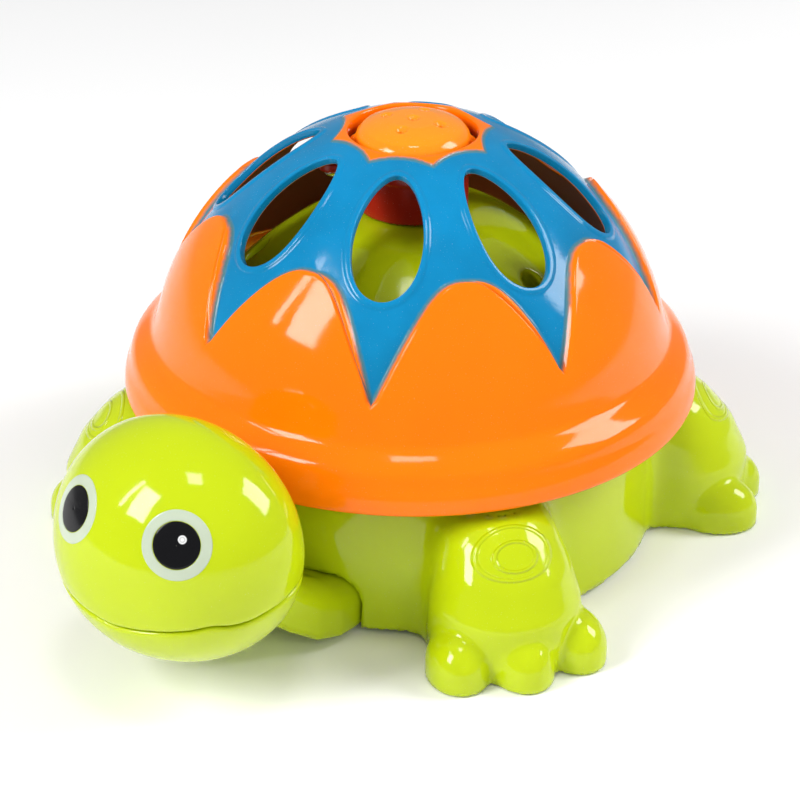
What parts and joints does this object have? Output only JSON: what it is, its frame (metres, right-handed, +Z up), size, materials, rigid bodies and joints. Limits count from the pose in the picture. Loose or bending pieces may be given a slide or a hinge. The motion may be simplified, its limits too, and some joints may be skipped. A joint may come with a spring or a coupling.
{
  "type": "turtle lawn sprinkler",
  "caption": "Toy garden sprinkler shaped like a turtle: a windowed dome shell spins on a four-legged body, fed through a hose nut at the tail.",
  "frame": {"origin": "on the ground, under the middle of the overall length and width", "axes": "+Z up, the head looks along -Y, the turtle's left is +X"},
  "size_m": [0.198, 0.261, 0.1337],
  "materials": {
    "lime_plastic": "glossy moulded",
    "orange_plastic": "glossy moulded, with blue sprayed paint on the shell's upper field",
    "red_plastic": "glossy moulded",
    "eye_white": "printed, glossy",
    "eye_black": "printed, glossy",
    "pale_plastic": "satin moulded",
    "screw_steel": "plated",
    "seal_rubber": "matt"
  },
  "bodies": {
    "base": {"body_top": "lime_plastic", "base_plate": "lime_plastic", "base_screw_1": "screw_steel", "base_screw_2": "screw_steel", "base_screw_3": "screw_steel", "base_screw_4": "screw_steel", "deck_screw_1": "screw_steel", "deck_screw_2": "screw_steel", "neck": "lime_plastic", "neck_screw_1": "screw_steel", "neck_screw_2": "screw_steel", "head_upper": "lime_plastic", "lower_jaw": "lime_plastic", "jaw_screw_1": "screw_steel", "jaw_screw_2": "screw_steel", "left_eye_white": "eye_white", "left_eye_pupil": "eye_black", "right_eye_white": "eye_white", "right_eye_pupil": "eye_black", "riser_tube": "pale_plastic", "inlet_elbow": "pale_plastic", "inlet_adapter": "orange_plastic"},
    "spinner": {"turtle_shell": "orange_plastic", "spray_cap": "orange_plastic", "rotor_hub": "red_plastic", "rotor_retainer": "pale_plastic", "thrust_washer": "pale_plastic", "seal_ring": "seal_rubber", "shell_screw_1": "screw_steel", "shell_screw_2": "screw_steel", "shell_screw_3": "screw_steel", "shell_screw_4": "screw_steel"},
    "hose_coupling": {"swivel_nut": "orange_plastic", "hose_washer": "seal_rubber"}
  },
  "joints": [
    {"name": "shell_spin", "type": "hinge", "parent": "base", "child": "spinner", "pos_m": [0, 0.0205, 0.1], "axis": [0, 0, 1], "continuous": true},
    {"name": "nut_turn", "type": "hinge", "parent": "base", "child": "hose_coupling", "pos_m": [0, 0.1105, 0.02], "axis": [0, 1, 0], "continuous": true}
  ]
}
